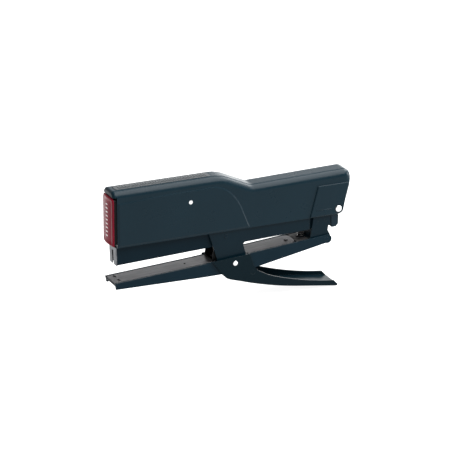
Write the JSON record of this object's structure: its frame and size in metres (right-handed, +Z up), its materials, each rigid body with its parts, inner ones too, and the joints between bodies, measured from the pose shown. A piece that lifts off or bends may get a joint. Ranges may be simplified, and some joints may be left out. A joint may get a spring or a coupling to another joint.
{
  "type": "plier stapler",
  "caption": "Plier stapler with a tall stepped steel cover, slim anvil arm, curved finger lever, tilting magazine and a rod with a sprung staple pusher.",
  "frame": {"origin": "under the middle of the object's bounding box, level with the lowest point of the finger lever", "axes": "+X along the length from nose to tail, +Z up, Y across the width; the object is symmetric about Y = 0"},
  "size_m": [0.1916, 0.0236, 0.0997],
  "materials": {
    "cover_paint": "semi-gloss dark petrol blue enamel",
    "frame_paint": "semi-gloss dark enamel",
    "magazine_paint": "semi-gloss dark enamel",
    "arm_paint": "semi-gloss dark enamel",
    "lever_paint": "semi-gloss dark enamel",
    "stop_black": "satin black",
    "grip_black": "fine matt",
    "seat_rubber": "matt black rubber",
    "holder_black": "moulded black",
    "window_red": "translucent deep red",
    "bare_steel": "satin",
    "plain_steel": "zinc plated",
    "spring_steel": "drawn wire",
    "bright_pin": "bright",
    "catch_grey": "dark grey"
  },
  "bodies": {
    "upper": {"cover_shell": "cover_paint", "hinge_cheeks": "cover_paint", "grip_plate": "grip_black", "front_window": "window_red", "window_holder": "holder_black", "inner_frame": "frame_paint", "driver_carrier": "plain_steel", "driver_blade": "plain_steel", "front_rivet": "bright_pin", "rear_pin": "bright_pin", "guide_studs": "frame_paint", "lever_rivet": "bright_pin", "pivot_sleeve": "plain_steel", "return_spring": "spring_steel"},
    "magazine": {"magazine_channel": "magazine_paint", "nose_plate": "bare_steel", "top_strap": "plain_steel", "rear_bracket": "frame_paint", "magazine_rivets": "frame_paint", "arm_pin": "arm_paint", "opening_spring": "spring_steel"},
    "loading_rod": {"pusher_rod": "plain_steel", "loading_catch": "catch_grey", "pusher_spring": "spring_steel"},
    "pusher": {"staple_pusher": "plain_steel"},
    "arm": {"arm_channel": "arm_paint", "anvil_strip": "bare_steel", "anvil_rivets": "bare_steel", "throat_stop": "stop_black", "spring_seat": "seat_rubber"},
    "lever": {"finger_lever": "lever_paint", "push_pin": "lever_paint"}
  },
  "joints": [
    {"name": "magazine_pivot", "type": "hinge", "parent": "upper", "child": "magazine", "pos_m": [0.08495, 0, 0.06073], "axis": [0, 1, 0], "range_deg": [0, 2.2], "stiffness_Nm_per_rad": 6, "springref_deg": -5.73, "deforming": ["return_spring"]},
    {"name": "arm_pivot", "type": "hinge", "parent": "magazine", "child": "arm", "pos_m": [0.0755, 0, 0.03803], "axis": [0, 1, 0], "range_deg": [0, 4], "stiffness_Nm_per_rad": 0.3, "springref_deg": -5.73, "deforming": ["opening_spring"]},
    {"name": "lever_pivot", "type": "hinge", "parent": "upper", "child": "lever", "pos_m": [0.00055, 0, 0.03083], "axis": [0, -1, 0], "range_deg": [0, 24]},
    {"name": "rod_slide", "type": "slide", "parent": "magazine", "child": "loading_rod", "axis": [0.9994, 0, 0.0354], "range_m": [0, 0.11]},
    {"name": "pusher_slide", "type": "slide", "parent": "loading_rod", "child": "pusher", "axis": [0.9994, 0, 0.0354], "range_m": [0, 0.12], "stiffness_N_per_m": 12, "springref_m": -0.08, "deforming": ["pusher_spring"]}
  ],
  "couplings": [
    {"joint": "arm_pivot", "follows": "magazine_pivot", "ratio": 1.8182},
    {"joint": "lever_pivot", "follows": "magazine_pivot", "ratio": 10.909}
  ]
}
